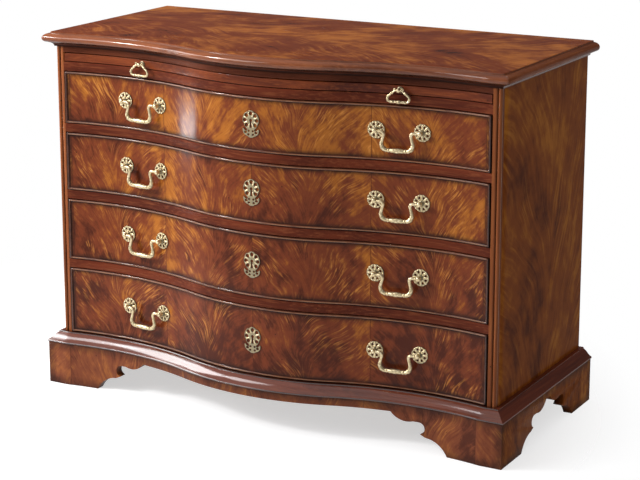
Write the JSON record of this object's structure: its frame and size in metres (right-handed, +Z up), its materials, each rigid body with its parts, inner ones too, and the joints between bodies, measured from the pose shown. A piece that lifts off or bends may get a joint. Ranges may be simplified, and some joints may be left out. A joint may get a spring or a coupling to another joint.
{
  "type": "serpentine chest of drawers",
  "caption": "Serpentine-fronted wooden chest with graduated cockbeaded drawers, a pull-out brushing slide, swinging brass bail handles and sawn bracket feet.",
  "frame": {"origin": "on the floor below the middle of the chest's bounding box", "axes": "+X to the right across the chest as seen from the front, +Y to the back, +Z up; the drawers open along -Y"},
  "size_m": [1.13, 0.544, 0.807],
  "materials": {
    "flame_veneer": "french polished flame figure",
    "striped_veneer": "french polished striped figure",
    "mahogany": "french polished solid wood",
    "lining_wood": "bare planed wood",
    "antique_brass": "cast and lacquered, dark in its recesses"
  },
  "bodies": {
    "carcass": {"top": "striped_veneer", "top_cove_moulding": "mahogany", "base_frame": "mahogany", "bottom_board": "lining_wood", "left_side": "striped_veneer", "right_side": "striped_veneer", "front_stiles": "mahogany", "back_panel": "lining_wood", "top_rails": "mahogany", "drawer_blades": "mahogany", "dust_boards": "lining_wood", "drawer_runners": "lining_wood", "drawer_stops": "lining_wood", "plinth_front": "flame_veneer", "side_plinths": "flame_veneer", "rear_brackets": "lining_wood", "foot_blocks": "lining_wood"},
    "brushing_slide": {"slide_board": "mahogany", "slide_loop_posts": "antique_brass"},
    "slide_left_loop": {"slide_left_loop": "antique_brass"},
    "slide_right_loop": {"slide_right_loop": "antique_brass"},
    "drawer_1": {"drawer_1_front": "flame_veneer", "drawer_1_cockbeads": "mahogany", "drawer_1_sides": "lining_wood", "drawer_1_back": "lining_wood", "drawer_1_bottom": "lining_wood", "drawer_1_handle_mounts": "antique_brass", "drawer_1_escutcheon": "antique_brass"},
    "drawer_1_left_bail": {"drawer_1_left_bail": "antique_brass"},
    "drawer_1_right_bail": {"drawer_1_right_bail": "antique_brass"},
    "drawer_2": {"drawer_2_front": "flame_veneer", "drawer_2_cockbeads": "mahogany", "drawer_2_sides": "lining_wood", "drawer_2_back": "lining_wood", "drawer_2_bottom": "lining_wood", "drawer_2_handle_mounts": "antique_brass", "drawer_2_escutcheon": "antique_brass"},
    "drawer_2_left_bail": {"drawer_2_left_bail": "antique_brass"},
    "drawer_2_right_bail": {"drawer_2_right_bail": "antique_brass"},
    "drawer_3": {"drawer_3_front": "flame_veneer", "drawer_3_cockbeads": "mahogany", "drawer_3_sides": "lining_wood", "drawer_3_back": "lining_wood", "drawer_3_bottom": "lining_wood", "drawer_3_handle_mounts": "antique_brass", "drawer_3_escutcheon": "antique_brass"},
    "drawer_3_left_bail": {"drawer_3_left_bail": "antique_brass"},
    "drawer_3_right_bail": {"drawer_3_right_bail": "antique_brass"},
    "drawer_4": {"drawer_4_front": "flame_veneer", "drawer_4_cockbeads": "mahogany", "drawer_4_sides": "lining_wood", "drawer_4_back": "lining_wood", "drawer_4_bottom": "lining_wood", "drawer_4_handle_mounts": "antique_brass", "drawer_4_escutcheon": "antique_brass"},
    "drawer_4_left_bail": {"drawer_4_left_bail": "antique_brass"},
    "drawer_4_right_bail": {"drawer_4_right_bail": "antique_brass"}
  },
  "joints": [
    {"name": "brushing_slide_travel", "type": "slide", "parent": "carcass", "child": "brushing_slide", "axis": [0, -1, 0], "range_m": [0, 0.3]},
    {"name": "slide_left_loop_hinge", "type": "hinge", "parent": "brushing_slide", "child": "slide_left_loop", "pos_m": [-0.3124, -0.18995, 0.7515], "axis": [-0.9919, 0.1273, 0], "range_deg": [-12, 95]},
    {"name": "slide_right_loop_hinge", "type": "hinge", "parent": "brushing_slide", "child": "slide_right_loop", "pos_m": [0.3124, -0.18995, 0.7515], "axis": [-0.9919, -0.1273, 0], "range_deg": [-12, 95]},
    {"name": "drawer_1_slide", "type": "slide", "parent": "carcass", "child": "drawer_1", "axis": [0, -1, 0], "range_m": [0, 0.33]},
    {"name": "drawer_1_left_bail_hinge", "type": "hinge", "parent": "drawer_1", "child": "drawer_1_left_bail", "pos_m": [-0.31279, -0.1948, 0.667], "axis": [-0.9918, 0.1276, 0], "range_deg": [-12, 95]},
    {"name": "drawer_1_right_bail_hinge", "type": "hinge", "parent": "drawer_1", "child": "drawer_1_right_bail", "pos_m": [0.31279, -0.1948, 0.667], "axis": [-0.9918, -0.1276, 0], "range_deg": [-12, 95]},
    {"name": "drawer_2_slide", "type": "slide", "parent": "carcass", "child": "drawer_2", "axis": [0, -1, 0], "range_m": [0, 0.33]},
    {"name": "drawer_2_left_bail_hinge", "type": "hinge", "parent": "drawer_2", "child": "drawer_2_left_bail", "pos_m": [-0.31279, -0.1948, 0.522], "axis": [-0.9918, 0.1276, 0], "range_deg": [-12, 95]},
    {"name": "drawer_2_right_bail_hinge", "type": "hinge", "parent": "drawer_2", "child": "drawer_2_right_bail", "pos_m": [0.31279, -0.1948, 0.522], "axis": [-0.9918, -0.1276, 0], "range_deg": [-12, 95]},
    {"name": "drawer_3_slide", "type": "slide", "parent": "carcass", "child": "drawer_3", "axis": [0, -1, 0], "range_m": [0, 0.33]},
    {"name": "drawer_3_left_bail_hinge", "type": "hinge", "parent": "drawer_3", "child": "drawer_3_left_bail", "pos_m": [-0.31279, -0.1948, 0.36625], "axis": [-0.9918, 0.1276, 0], "range_deg": [-12, 95]},
    {"name": "drawer_3_right_bail_hinge", "type": "hinge", "parent": "drawer_3", "child": "drawer_3_right_bail", "pos_m": [0.31279, -0.1948, 0.36625], "axis": [-0.9918, -0.1276, 0], "range_deg": [-12, 95]},
    {"name": "drawer_4_slide", "type": "slide", "parent": "carcass", "child": "drawer_4", "axis": [0, -1, 0], "range_m": [0, 0.33]},
    {"name": "drawer_4_left_bail_hinge", "type": "hinge", "parent": "drawer_4", "child": "drawer_4_left_bail", "pos_m": [-0.31279, -0.1948, 0.20075], "axis": [-0.9918, 0.1276, 0], "range_deg": [-12, 95]},
    {"name": "drawer_4_right_bail_hinge", "type": "hinge", "parent": "drawer_4", "child": "drawer_4_right_bail", "pos_m": [0.31279, -0.1948, 0.20075], "axis": [-0.9918, -0.1276, 0], "range_deg": [-12, 95]}
  ]
}
